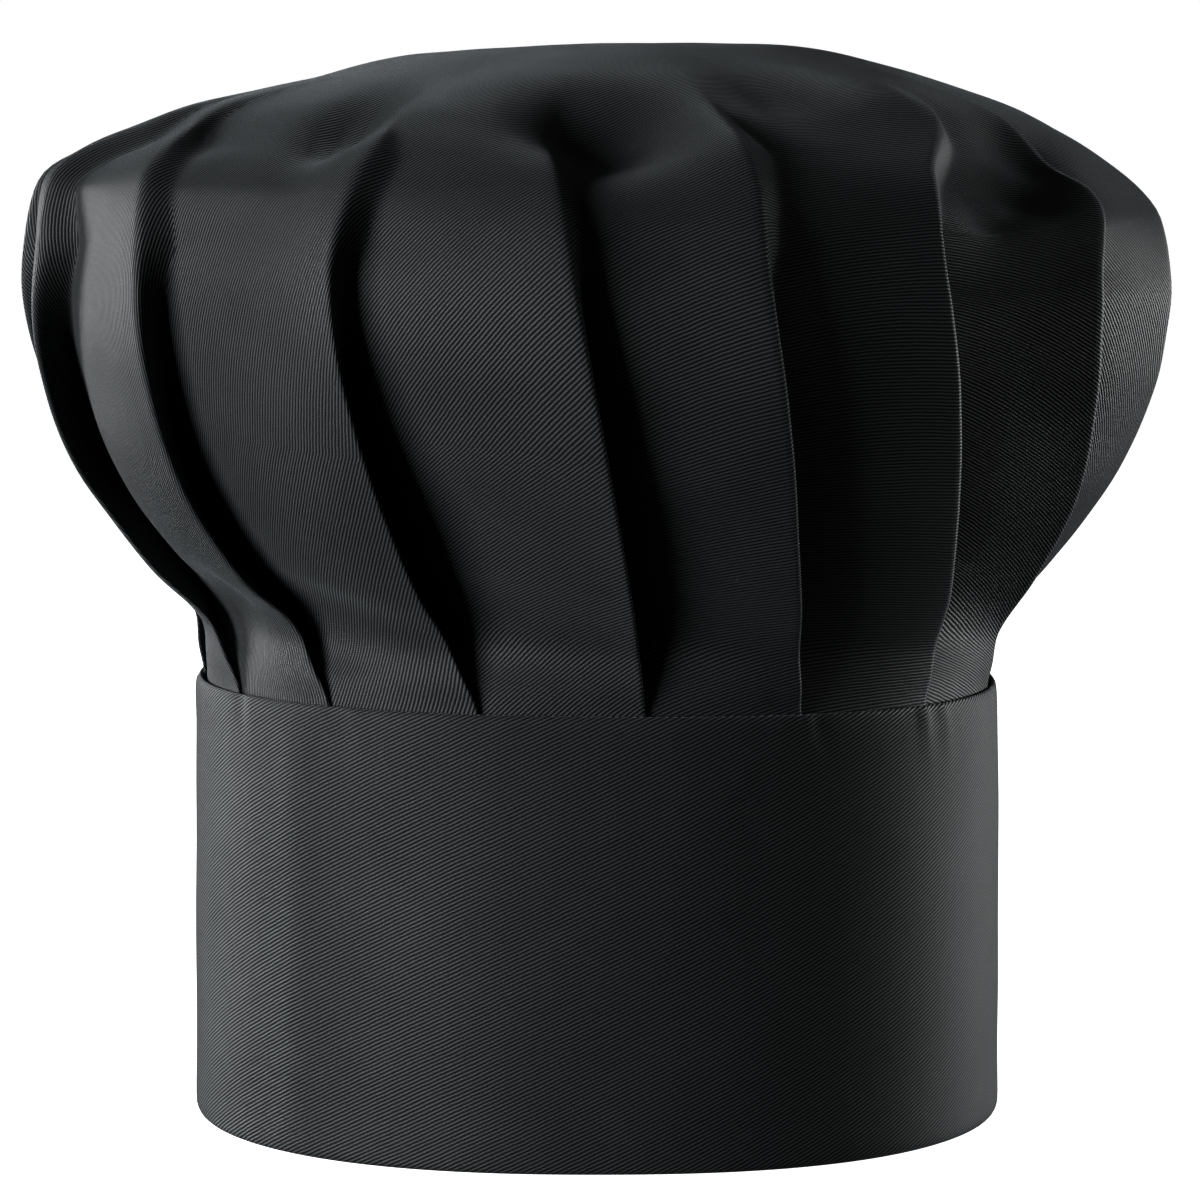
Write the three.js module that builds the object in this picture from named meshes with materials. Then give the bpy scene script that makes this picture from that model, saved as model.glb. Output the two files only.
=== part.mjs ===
// Chef's cap: a full crown of cloth, laid in knife pleats and held by a plain high headband.
// Millimetres, +Z up, the front faces -Y. The origin is the middle of the rim that the cap stands on.
import * as THREE from 'three';

// Headband
const rimRadius = 96; // outer face at the rim, measured to the front and the sides
const bandHeight = 102; // rim to seam
const seamTilt = 0.9; // how far the seam drops at the right, and rises at the left
const planSquareness = 2.33; // exponent of the band's plan: 2 is a circle, more is squarer
const bandLayers = 2.8; // both layers together, at the rim
const faceTaper = 1.1; // how far the outer face leans in on its way up to the seam
const edgeRoll = 1.9; // how far the cloth has rolled in where it meets the crown
const lipThickness = 1.3; // the outer layer beside the slot
const innerThickness = 1; // the inner layer beside the slot
const slotDepth = 12;
const skirtPleat = 0.4; // what is left of the pleats where they are pressed flat in the slot
const clearance = 0.3; // gap that neighbouring pieces keep
const bandSegments = 88;

// Crown
const crownCloth = 1.2; // thickness of the crown's wall
const pleatCount = 16;
const firstEdge = 6.7; // degrees from the front to the first fold edge at the seam, towards the right
const seamCloth = 268; // from the top of the crown along the cloth to the seam
const skirtDepth = 11.2; // how far the crown goes down into the slot
const bellyCloth = 160; // along the cloth to the widest place
const flareCloth = 215; // along the cloth to where the pleats open out
const shoulderCloth = 120; // along the cloth to where the sides turn into the top
const squareFrom = 205; // the plan is round above this and takes the band's shape below it
const longestStep = 25; // between two rings of points along the cloth
const panelSteps = [0, 0.14, 0.34, 0.56, 0.76, 0.9, 1]; // points from one fold's root to the next fold's edge
const rootHollow = 1.4; // how quickly a panel rises out of the fold beside it

// Sections of the crown, from the top down. cloth: distance along the cloth from the top.
// reach and height: of the fold edges. side and tip: how much further out and higher the left is
// than the middle. depth: of the pleats. lap: how far each fold covers the next panel; less than
// nothing is an open valley.
const crownSections = [
  { cloth: 0, reach: 0, height: 250.2, side: 0, tip: 0, depth: 0.2, lap: -1 },
  { cloth: 42, reach: 41.8, height: 249.6, side: 0, tip: -1, depth: 0.2, lap: -1 },
  { cloth: 70, reach: 69.3, height: 243.8, side: 0, tip: -1.6, depth: 0.4, lap: -1 },
  { cloth: 97, reach: 95.3, height: 236.6, side: 0, tip: -0.3, depth: 1.6, lap: -1 },
  { cloth: 113, reach: 110.2, height: 230.9, side: 0.5, tip: 0.8, depth: 3.8, lap: -1 },
  { cloth: 125, reach: 120.8, height: 225.4, side: 1.2, tip: 1.8, depth: 6.2, lap: -2 },
  { cloth: 136, reach: 129.7, height: 219, side: 1.4, tip: 2.4, depth: 8.5, lap: -3 },
  { cloth: 145, reach: 134.2, height: 211.5, side: 0.6, tip: 1.9, depth: 9.6, lap: -3 },
  { cloth: 160, reach: 136.8, height: 197, side: 0.3, tip: 1.5, depth: 10.2, lap: -2 },
  { cloth: 172, reach: 136.2, height: 185.2, side: 0.9, tip: 1.8, depth: 10.9, lap: 0 },
  { cloth: 185, reach: 132.9, height: 172.6, side: 0.8, tip: 1.7, depth: 11.6, lap: 2 },
  { cloth: 210, reach: 123.1, height: 149.4, side: 0.8, tip: 1.5, depth: 12, lap: 6 },
  { cloth: 235, reach: 108, height: 128.6, side: 0.5, tip: 1.3, depth: 8.8, lap: 7 },
  { cloth: 252, reach: 96.8, height: 116.2, side: -0.4, tip: 1.6, depth: 4.6, lap: 4 },
  { cloth: 262, reach: 94.6, height: 107.5, side: 0, tip: 1.3, depth: 1.6, lap: 1 },
];

// The pleats in turn, from the front towards the right. flare, belly and shoulder: degrees that the
// fold edge has moved from its place at the seam, at those heights. fullness: its depth against
// the section's.
const pleats = [
  { flare: -4.3, belly: -8.3, shoulder: -11.3, fullness: 0.8 },
  { flare: -7.8, belly: -13.4, shoulder: -13, fullness: 0.75 },
  { flare: -10, belly: -18, shoulder: -12, fullness: 1.05 },
  { flare: -7.8, belly: -18.7, shoulder: -8, fullness: 1 },
  { flare: -9, belly: -20, shoulder: -12, fullness: 0.9 },
  { flare: -10, belly: -24, shoulder: -16, fullness: 1 },
  { flare: -6, belly: -17, shoulder: -14, fullness: 1.05 },
  { flare: -7, belly: -14, shoulder: -13, fullness: 0.85 },
  { flare: -6, belly: -13, shoulder: -15, fullness: 1 },
  { flare: -6, belly: -12, shoulder: -16, fullness: 0.9 },
  { flare: -8, belly: -13, shoulder: -17, fullness: 1.05 },
  { flare: -6, belly: -11, shoulder: -14, fullness: 0.85 },
  { flare: -11.7, belly: -8.3, shoulder: -14, fullness: 0.95 },
  { flare: -14.8, belly: -6.7, shoulder: -11, fullness: 1 },
  { flare: -8.9, belly: -8.8, shoulder: -13, fullness: 1.05 },
  { flare: -6.2, belly: -8.7, shoulder: -8, fullness: 0.9 },
];

// Hollows in the top of the crown. angle: degrees from the front towards the right. cloth: distance
// from the top. across and along: how wide it is. depth: how far it goes in.
const dents = [
  { angle: -21, cloth: 100, across: 14, along: 24, depth: 5 },
  { angle: 5, cloth: 98, across: 17, along: 24, depth: 7 },
  { angle: 26, cloth: 92, across: 13, along: 20, depth: 4 },
  { angle: 51, cloth: 112, across: 13, along: 22, depth: 6 },
  { angle: 92, cloth: 98, across: 16, along: 24, depth: 5 },
  { angle: 138, cloth: 104, across: 18, along: 22, depth: 6 },
  { angle: 183, cloth: 94, across: 16, along: 26, depth: 6 },
  { angle: 228, cloth: 106, across: 17, along: 20, depth: 5 },
  { angle: 272, cloth: 98, across: 15, along: 24, depth: 6 },
  { angle: -52, cloth: 100, across: 15, along: 20, depth: 4 },
];

const twill = { color: 0x17191b, roughness: 0.72, metalness: 0 };

const { degToRad, smoothstep, lerp } = THREE.MathUtils;
const fullTurn = 2 * Math.PI;
const pleatPitch = fullTurn / pleatCount;

// Insets are measured in from the band's outer face at the rim.
const slotOuter = faceTaper + lipThickness;
const skirtInset = slotOuter + clearance;
const slotInner = skirtInset + skirtPleat + crownCloth + clearance;

// Distance from the axis in a direction, for a plan that reaches 1 to the front and the sides.
function planFactor(angle, squareness) {
  const across = Math.abs(Math.sin(angle)) ** squareness;
  const deep = Math.abs(Math.cos(angle)) ** squareness;
  return (across + deep) ** (-1 / squareness);
}

function around(angle, radius, height) {
  return new THREE.Vector3(radius * Math.sin(angle), -radius * Math.cos(angle), height);
}

// The seam's own line drops towards the right; the rim stays level.
function seamDrop(angle, height) {
  return seamTilt * Math.sin(angle) * (height / bandHeight);
}

// A smooth curve through the values in one column of a table, read at any place in another column.
function smoothColumn(rows, placeKey, valueKey) {
  const places = rows.map((row) => row[placeKey]);
  const values = rows.map((row) => row[valueKey]);
  const last = rows.length - 1;
  const slopes = rows.map((_, i) => {
    const before = Math.max(i - 1, 0);
    const after = Math.min(i + 1, last);
    return (values[after] - values[before]) / (places[after] - places[before]);
  });
  return (place) => {
    if (place <= places[0]) return values[0];
    if (place >= places[last]) return values[last];
    const i = places.findIndex((end) => end > place) - 1;
    const span = places[i + 1] - places[i];
    const t = (place - places[i]) / span;
    const rise = t * t * (3 - 2 * t);
    const enter = t * (1 - t) * (1 - t) * span * slopes[i];
    const leave = t * t * (t - 1) * span * slopes[i + 1];
    return lerp(values[i], values[i + 1], rise) + enter + leave;
  };
}

// The crown's last two sections are where it meets the seam and where its skirt ends in the slot.
const skirtRadius = rimRadius - skirtInset;
const skirtRows = [0, skirtDepth].map((below) => ({
  cloth: seamCloth + below, reach: skirtRadius, height: bandHeight - below, side: 0, tip: seamTilt,
  depth: skirtPleat, lap: 0,
}));
const sections = [...crownSections, ...skirtRows];
const crownAt = {};
for (const key of ['reach', 'height', 'side', 'tip', 'depth', 'lap']) {
  crownAt[key] = smoothColumn(sections, 'cloth', key);
}

const leans = pleats.map((pleat) => smoothColumn([
  { cloth: shoulderCloth, lean: pleat.shoulder },
  { cloth: bellyCloth, lean: pleat.belly },
  { cloth: flareCloth, lean: pleat.flare },
  { cloth: seamCloth, lean: 0 },
], 'cloth', 'lean'));

function edgeAngle(index, cloth) {
  const turns = Math.floor(index / pleatCount);
  const lean = leans[index - turns * pleatCount](cloth);
  return degToRad(firstEdge + lean) + index * pleatPitch;
}

// A point on the smooth form that the fold edges touch: its distance from the axis, and its height.
function formPoint(cloth, angle) {
  const squareness = lerp(2, planSquareness, smoothstep(cloth, squareFrom, seamCloth));
  const reach = crownAt.reach(cloth) * planFactor(angle, squareness);
  const out = reach - crownAt.side(cloth) * Math.sin(angle);
  return new THREE.Vector2(out, crownAt.height(cloth) - crownAt.tip(cloth) * Math.sin(angle));
}

// The same point, moved inwards square to the form.
function crownPoint(cloth, angle, inward) {
  const here = formPoint(cloth, angle);
  const step = formPoint(cloth + 1, angle).sub(formPoint(Math.max(cloth - 1, 0), angle)).normalize();
  return around(angle, here.x + step.y * inward, here.y - step.x * inward);
}

function dentDepth(cloth, angle) {
  let depth = 0;
  for (const dent of dents) {
    const turn = angle - degToRad(dent.angle);
    const apart = Math.atan2(Math.sin(turn), Math.cos(turn)) * crownAt.reach(cloth);
    depth += dent.depth * Math.exp(-((apart / dent.across) ** 2) - ((cloth - dent.cloth) / dent.along) ** 2);
  }
  return depth;
}

// One ring of the crown as a folded line: how far round it each point is, in mm, and how far in.
function foldedLine(cloth) {
  const radius = crownAt.reach(cloth);
  const line = [];
  for (let k = 0; k < pleatCount; k += 1) {
    const root = edgeAngle(k, cloth) - crownAt.lap(cloth) / radius;
    const nextEdge = edgeAngle(k + 1, cloth);
    for (const step of panelSteps) {
      const fullness = lerp(pleats[k].fullness, pleats[(k + 1) % pleatCount].fullness, step);
      const angle = lerp(root, nextEdge, step);
      const depth = crownAt.depth(cloth) * fullness * (1 - step) ** rootHollow;
      line.push(new THREE.Vector2(angle * radius, depth + dentDepth(cloth, angle)));
    }
  }
  return line;
}

// The same line moved in by the thickness of the cloth. Sharp corners are cut short.
function insideLine(line, girth) {
  const sharpest = 2.2;
  return line.map((point, i) => {
    const before = i > 0 ? line[i - 1].clone() : line.at(-1).clone().setX(line.at(-1).x - girth);
    const after = i < line.length - 1 ? line[i + 1].clone() : line[0].clone().setX(line[0].x + girth);
    const enter = point.clone().sub(before).normalize();
    const leave = after.sub(point).normalize();
    const inward = new THREE.Vector2(-enter.y - leave.y, enter.x + leave.x);
    const reach = Math.min(2 / Math.max(inward.lengthSq(), 0.01), sharpest / inward.length());
    return point.clone().addScaledVector(inward, reach * crownCloth);
  });
}

function ringPlaces() {
  const places = [];
  for (let i = 1; i < sections.length; i += 1) {
    const from = sections[i - 1].cloth;
    const steps = Math.ceil((sections[i].cloth - from) / longestStep);
    for (let step = 1; step <= steps; step += 1) places.push(lerp(from, sections[i].cloth, step / steps));
  }
  return places;
}

function closedMesh(name, points, triangles) {
  const geometry = new THREE.BufferGeometry().setFromPoints(points);
  geometry.setIndex(triangles);
  geometry.computeVertexNormals();
  const mesh = new THREE.Mesh(geometry, new THREE.MeshStandardMaterial(twill));
  mesh.name = name;
  return mesh;
}

// The crown: an outer and an inner skin, each a fan at the top and rings below, joined round the open mouth.
function makeCrown() {
  const places = ringPlaces();
  const points = [crownPoint(0, 0, 0), crownPoint(0, 0, crownCloth)];
  const outer = [];
  const inner = [];
  for (const cloth of places) {
    const radius = crownAt.reach(cloth);
    const line = foldedLine(cloth);
    for (const [skin, rows] of [[line, outer], [insideLine(line, radius * fullTurn), inner]]) {
      rows.push(skin.map((point) => points.push(crownPoint(cloth, point.x / radius, point.y)) - 1));
    }
  }
  const triangles = [];
  const round = outer[0].length;
  const face = (a, b, c, flip) => triangles.push(...(flip ? [a, c, b] : [a, b, c]));
  const patch = (high, low, i, flip) => {
    const j = (i + 1) % round;
    face(high[i], low[i], low[j], flip);
    face(high[i], low[j], high[j], flip);
  };
  for (let i = 0; i < round; i += 1) {
    face(0, outer[0][i], outer[0][(i + 1) % round], false);
    face(1, inner[0][i], inner[0][(i + 1) % round], true);
    for (let ring = 1; ring < places.length; ring += 1) {
      patch(outer[ring - 1], outer[ring], i, false);
      patch(inner[ring - 1], inner[ring], i, true);
    }
    patch(outer.at(-1), inner.at(-1), i, false);
  }
  return closedMesh('crown', points, triangles);
}

// The band: its cross-section, swept round the plan.
function makeBand() {
  const slotFloor = bandHeight - slotDepth;
  const innerTop = bandHeight - 1;
  const innerFace = slotInner + innerThickness;
  const joinHeight = slotFloor - 9; // below this the two layers lie on each other
  const profile = [
    { inset: 0, height: 0 },
    { inset: faceTaper - 0.4, height: bandHeight - 6 },
    { inset: faceTaper, height: bandHeight - 2 },
    { inset: edgeRoll, height: bandHeight },
    { inset: slotOuter, height: bandHeight - 0.4 },
    { inset: slotOuter, height: slotFloor },
    { inset: slotInner, height: slotFloor },
    { inset: slotInner, height: innerTop },
    { inset: innerFace, height: innerTop },
    { inset: innerFace, height: slotFloor + 1 },
    { inset: bandLayers + 0.4, height: joinHeight },
    { inset: bandLayers, height: 0 },
  ];
  const points = [];
  const triangles = [];
  const size = profile.length;
  for (let i = 0; i < bandSegments; i += 1) {
    const angle = (i / bandSegments) * fullTurn;
    const next = (i + 1) % bandSegments;
    profile.forEach(({ inset, height }, j) => {
      const radius = (rimRadius - inset) * planFactor(angle, planSquareness);
      points.push(around(angle, radius, height - seamDrop(angle, height)));
      const up = (j + 1) % size;
      triangles.push(i * size + j, next * size + j, next * size + up);
      triangles.push(i * size + j, next * size + up, i * size + up);
    });
  }
  return closedMesh('band', points, triangles);
}

const cap = new THREE.Group();
cap.add(makeCrown(), makeBand());

export default cap;
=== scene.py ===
# Chef's cap of black twill: a full crown laid in knife pleats, set into a plain high headband.
# The tables are in millimetres and degrees. Angles run from the front (-Y) towards the right (+X).
import math
import bpy
import numpy as np
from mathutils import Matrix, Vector, noise


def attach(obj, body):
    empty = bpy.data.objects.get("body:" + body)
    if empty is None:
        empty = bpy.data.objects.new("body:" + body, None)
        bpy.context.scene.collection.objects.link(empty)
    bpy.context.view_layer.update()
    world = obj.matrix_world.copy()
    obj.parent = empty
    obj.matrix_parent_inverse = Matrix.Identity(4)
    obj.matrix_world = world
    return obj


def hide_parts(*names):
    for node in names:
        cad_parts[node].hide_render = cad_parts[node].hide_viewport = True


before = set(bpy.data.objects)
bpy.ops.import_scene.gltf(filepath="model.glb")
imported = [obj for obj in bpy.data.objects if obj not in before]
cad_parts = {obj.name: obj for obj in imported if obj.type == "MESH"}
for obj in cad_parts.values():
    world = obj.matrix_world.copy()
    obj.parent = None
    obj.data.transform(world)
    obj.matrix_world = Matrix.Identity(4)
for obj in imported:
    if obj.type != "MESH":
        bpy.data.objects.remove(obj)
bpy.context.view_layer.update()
print("frame loaded, nodes:", sorted(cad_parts))

mm = 0.001
turn = 2 * math.pi


# Small helpers

def smoothStep(place, start, end):
    t = np.clip((place - start) / (end - start), 0, 1)
    return t * t * (3 - 2 * t)


def smoothColumn(places, values):
    # a smooth curve through a table's column, the same rule as the part's source has
    places, values = np.array(places, float), np.array(values, float)
    slopes = np.empty_like(values)
    slopes[1:-1] = (values[2:] - values[:-2]) / (places[2:] - places[:-2])
    slopes[0] = (values[1] - values[0]) / (places[1] - places[0])
    slopes[-1] = (values[-1] - values[-2]) / (places[-1] - places[-2])

    def read(place):
        place = np.clip(place, places[0], places[-1])
        i = np.clip(np.searchsorted(places, place, side="right") - 1, 0, len(places) - 2)
        span = places[i + 1] - places[i]
        t = (place - places[i]) / span
        blend = t * t * (3 - 2 * t)
        bend = t * (1 - t) * span * ((1 - t) * slopes[i] - t * slopes[i + 1])
        return values[i] + (values[i + 1] - values[i]) * blend + bend

    return read


def planFactor(angle, squareness):
    across = np.abs(np.sin(angle)) ** squareness
    deep = np.abs(np.cos(angle)) ** squareness
    return (across + deep) ** (-1 / squareness)


def apart(angle, middle):
    # how far apart two directions are, in radians, the short way round
    return np.arctan2(np.sin(angle - middle), np.cos(angle - middle))


def softNoise(points, size, seed):
    # smooth noise from -1 to 1 at each point, with lumps of about the given size in mm
    shift = Vector((seed * 17.3, seed * 5.1, seed * 9.7))
    return np.array([noise.noise(Vector(p) / size + shift) for p in points])


def meshObject(name, points, faces, uv=None, attributes=()):
    mesh = bpy.data.meshes.new(name)
    mesh.from_pydata((points * mm).tolist(), [], faces)
    mesh.validate()
    mesh.update()
    if uv is not None:
        layer = mesh.uv_layers.new(name="cloth")
        layer.data.foreach_set("uv", np.array(uv, dtype=np.float32).ravel())
    for key, values in dict(attributes).items():
        store = mesh.attributes.new(key, "FLOAT", "POINT")
        store.data.foreach_set("value", np.array(values, dtype=np.float32))
    mesh.shade_smooth()
    thing = bpy.data.objects.new(name, mesh)
    bpy.context.scene.collection.objects.link(thing)
    return thing


def applyModifiers(thing):
    graph = bpy.context.evaluated_depsgraph_get()
    shape = thing.evaluated_get(graph)
    done = bpy.data.meshes.new_from_object(shape, preserve_all_data_layers=True, depsgraph=graph)
    done.name = thing.data.name
    thing.modifiers.clear()
    thing.data = done


# Camera

view = {
    "distance": 1100,  # from the cap's axis
    "height": 220,
    "tiltDown": 5.25,
    "lens": 138.6,
    "aimShift": 0.0025,  # the cap stands a little left of the middle of the frame
}

lens = bpy.data.cameras.new("camera")
lens.lens = view["lens"]
lens.shift_x = view["aimShift"]
lens.clip_end = 20
cameraObject = bpy.data.objects.new("camera", lens)
cameraObject.location = (0, -view["distance"] * mm, view["height"] * mm)
cameraObject.rotation_euler = (math.radians(90 - view["tiltDown"]), 0, 0)
bpy.context.scene.collection.objects.link(cameraObject)
bpy.context.scene.camera = cameraObject
print("camera placed")


# What the crown and the band share: the plan, and the seam between them

rim = {
    "radius": 96,
    "height": 102,  # of the seam over the rim
    "tilt": 0.9,  # how much lower the seam is at the right
    "squareness": 2.33,  # 2 would be a plain circle
}


# Crown: its form

crown = {
    "cloth": 0.33,  # thickness of the twill
    "layer": 0.38,  # from one layer to the next where the pleats are pressed flat
    "pleats": 16,
    "firstEdge": 6.7,  # direction of the first fold edge at the seam
    # heights of the form, as lengths along the cloth from the middle of the top
    "topCloth": 55,
    "crestCloth": 100,
    "shoulderCloth": 130,
    "bellyCloth": 160,
    "heldCloth": 200,  # the fold edges keep their place in the cloth below this
    "squareFrom": 205,
    "flareCloth": 215,
    "gatherCloth": 252,
    "seamCloth": 268,
    "skirtDepth": 10.5,  # how far the cloth goes on down inside the band
    "topLean": -12,  # how far the fold edges have turned where they fade out
    "slack": 1.02,  # cloth there is, for each length that the plan needs
    "fadeLength": 48,  # over which a fold fades out at the top
    "bowFrom": 90,
    "rowStep": 2.6,
    "tightStep": 1.5,  # between rows near the seam
    "lumps": 1.2,  # how far the soft lumps and the finer ripples stand in or out
    "ripples": 0.25,
    "panelPoints": 10,  # across what shows of a panel, and across the layer under the fold
    "underPoints": 5,
}

# cloth: along the cloth from the top. depth: of the pleats. soft: how round the folds are.
# open: how wide a valley may be where there is little cloth to spare.
sectionColumns = ("cloth", "reach", "height", "side", "tip", "depth", "soft", "open")
sectionRows = [
    (0, 0, 250.2, 0, 0, 0.4, 5, 12),
    (42, 41.8, 249.2, 0, -1, 0.4, 5, 12),
    (70, 69.3, 243.8, 0, -1.6, 1.2, 4, 12),
    (97, 95.3, 237.2, 0, -0.4, 3.4, 2.2, 10),
    (113, 110.2, 230.9, 0.5, 0.8, 5.6, 1.5, 7),
    (125, 121.4, 225.4, 1.8, 1.8, 7.6, 1.2, 5.5),
    (136, 130.5, 219, 2.2, 2.4, 9, 1.1, 4.5),
    (145, 134.8, 211.5, 1.2, 1.9, 10, 1, 4),
    (160, 137.2, 197, 0.7, 1.5, 10.6, 0.9, 3.5),
    (172, 136.2, 185.2, 0.9, 1.8, 11.2, 0.85, 3.5),
    (185, 132.9, 172.6, 0.8, 1.7, 11.8, 0.8, 3.5),
    (210, 123.1, 149.4, 0.8, 1.5, 12.2, 0.7, 3),
    (235, 108, 128.6, 0.5, 1.3, 11, 0.5, 2),
    (252, 96.8, 116.2, -0.4, 1.6, 7.5, 0.4, 1),
    (262, 94.6, 107.5, 0, 1.3, 3.2, 0.25, 0),
    (268, 93.3, 102, 0, 0.9, 1.05, 0.2, 0),
    (278.5, 93.3, 91.5, 0, 0.9, 1.02, 0.2, 0),
]
sections = dict(zip(sectionColumns, zip(*sectionRows)))
crownAt = {key: smoothColumn(sections["cloth"], sections[key]) for key in sectionColumns[1:]}

# seam to crest: how far the fold edge has moved round from its even place, at six heights.
# fullness: how deep the fold is above, and deep: below the belly. end: along the cloth to where it fades
# out at the top. rise and flareRise: how steeply the panel before the edge comes up out of its valley,
# at the belly and below it. bow: how far that panel bulges.
pleatColumns = ("seam", "gather", "flare", "belly", "shoulder", "crest", "fullness", "deep", "end",
                "rise", "flareRise", "bow")
pleatRows = [
    (-0.2, -1.2, -4.2, -8.4, -10.6, -12.2, 0.65, 0.8, 66, 1.1, 0.9, -1.5),
    (-1.4, -2.6, -8, -13.5, -13.8, -13.2, 0.65, 0.65, 62, 1.1, 1, -1.2),
    (-2.5, -2.6, -10.3, -18.1, -15.8, -3.7, 1.5, 1.5, 78, 0.85, 1.0, -1.5),
    (0, -3, -9.1, -19, -12.4, -8, 1.2, 1.1, 66, 0.9, 0.85, -3),
    (0.5, -3, -9, -20.5, -15, -12, 1.2, 1.1, 66, 1.0, 1.1, -1),
    (-1, -4, -10, -24, -19, -14, 1, 1.1, 84, 0.85, 1.1, -2.5),
    (1, -2, -6, -17, -15, -14, 1.05, 0.9, 68, 1.2, 1.2, -1),
    (0, -2.5, -7, -14, -12, -13, 0.85, 1.1, 86, 1.0, 1.1, -2),
    (-1.5, -3, -6, -13, -16, -15, 1, 1, 74, 1.2, 1.2, -1),
    (0.5, -2, -6, -12, -14, -16, 0.9, 1.2, 84, 1.0, 1.1, -1.5),
    (1, -2, -8, -13, -18, -17, 1.05, 0.9, 66, 1.2, 1.2, -1),
    (-0.5, -3, -6, -11, -15, -14, 0.85, 1, 80, 1.0, 1.2, -1.5),
    (0, -5, -11.7, -8.3, -12, -14, 0.95, 0.9, 72, 1.1, 1.2, -1),
    (3.3, -4.2, -14.8, -6.4, -8, -11, 0.85, 0.75, 66, 1.2, 1.6, -1),
    (0.5, -4.1, -8.5, -8.6, -11, -20, 0.8, 0.75, 60, 1.2, 1.6, -1),
    (-0.2, -3.4, -6, -8.5, -7.3, -9, 0.75, 0.95, 96, 0.9, 1.4, -3.5),
]
pleats = [dict(zip(pleatColumns, row)) for row in pleatRows]

# Hollows in the top. across and along: how wide, in mm. depth: how far in.
dentColumns = ("angle", "cloth", "across", "along", "depth")
dentRows = [
    (-31, 108, 8, 18, 6),
    (1, 104, 19, 20, 9),
    (28, 92, 12, 20, 3),
    (44, 136, 9, 10, 3.2),
    (51, 129, 12, 11, 5),
    (60, 119, 13, 12, 5),
    (98, 98, 14, 22, 2),
    (138, 104, 18, 22, 6),
    (183, 94, 16, 26, 6),
    (228, 106, 17, 20, 5),
    (272, 98, 15, 24, 3.6),
    (-6, 139, 80, 10, 1.8),
    (180, 139, 90, 10, 1.8),
    (-36, 249, 20, 12, 3),
    (-55, 246, 12, 15, 4),
]
dents = [dict(zip(dentColumns, row)) for row in dentRows]


def formPoint(cloth, angle):
    # the smooth form that the fold edges touch: distance from the axis, and height
    square = 2 + (rim["squareness"] - 2) * smoothStep(cloth, crown["squareFrom"], crown["seamCloth"])
    out = crownAt["reach"](cloth) * planFactor(angle, square) - crownAt["side"](cloth) * np.sin(angle)
    return out, crownAt["height"](cloth) - crownAt["tip"](cloth) * np.sin(angle)


def crownPoints(cloth, angle, inward):
    out, height = formPoint(cloth, angle)
    outBelow, heightBelow = formPoint(cloth + 1, angle)
    outAbove, heightAbove = formPoint(np.maximum(cloth - 1, 0), angle)
    stepOut, stepUp = outBelow - outAbove, heightBelow - heightAbove
    size = np.hypot(stepOut, stepUp)
    out = out + stepUp / size * inward
    height = height - stepOut / size * inward
    return np.stack([out * np.sin(angle), -out * np.cos(angle), height], axis=-1)


def edgeLines():
    # for each pleat, the direction of its fold edge at any place along the cloth
    lines = []
    places = (0, crown["topCloth"], crown["crestCloth"], crown["shoulderCloth"], crown["bellyCloth"],
              crown["flareCloth"], crown["gatherCloth"], crown["seamCloth"], crown["seamCloth"] + 20)
    for pleat in pleats:
        lean = (crown["topLean"], crown["topLean"], pleat["crest"], pleat["shoulder"], pleat["belly"],
                pleat["flare"], pleat["gather"], pleat["seam"], pleat["seam"] + 1)
        lines.append(smoothColumn(places, lean))
    return lines


edges = edgeLines()


def edgeAngle(k, cloth):
    turns, index = divmod(k, crown["pleats"])
    start = crown["firstEdge"] + index * 360 / crown["pleats"] + turns * 360
    return math.radians(start + edges[index](cloth))


def foldLap(width, room, depth, length, opening):
    # how far the fold has to go under for the cloth's length to be used up. Where there isn't
    # cloth enough for the depth, the fold is shallower.
    def used(lap, deep):
        return math.hypot(lap, deep) + math.hypot(width + lap, deep)

    low, high = -min(opening, 0.3 * width), 0.94 * min(width, room)
    if used(low, depth) > length:
        shallow, deep = 0.0, depth
        for _ in range(24):
            middle = (shallow + deep) / 2
            shallow, deep = (shallow, middle) if used(low, middle) > length else (middle, deep)
        return low, shallow
    for _ in range(24):
        middle = (low + high) / 2
        low, high = (low, middle) if used(middle, depth) > length else (middle, high)
    return low, depth


def panelShape(pleat, cloth, depth, shown):
    # how far in a panel lies, from its valley (0) to the fold edge that ends it (1)
    flare = smoothStep(cloth, crown["bellyCloth"], crown["flareCloth"])
    rise = pleat["rise"] + (pleat["flareRise"] - pleat["rise"]) * flare
    bow = pleat["bow"] * smoothStep(cloth, crown["bowFrom"], crown["bellyCloth"]) * (1 - flare)
    return depth * (1 - shown) ** rise - bow * np.sin(np.pi * shown)


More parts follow.
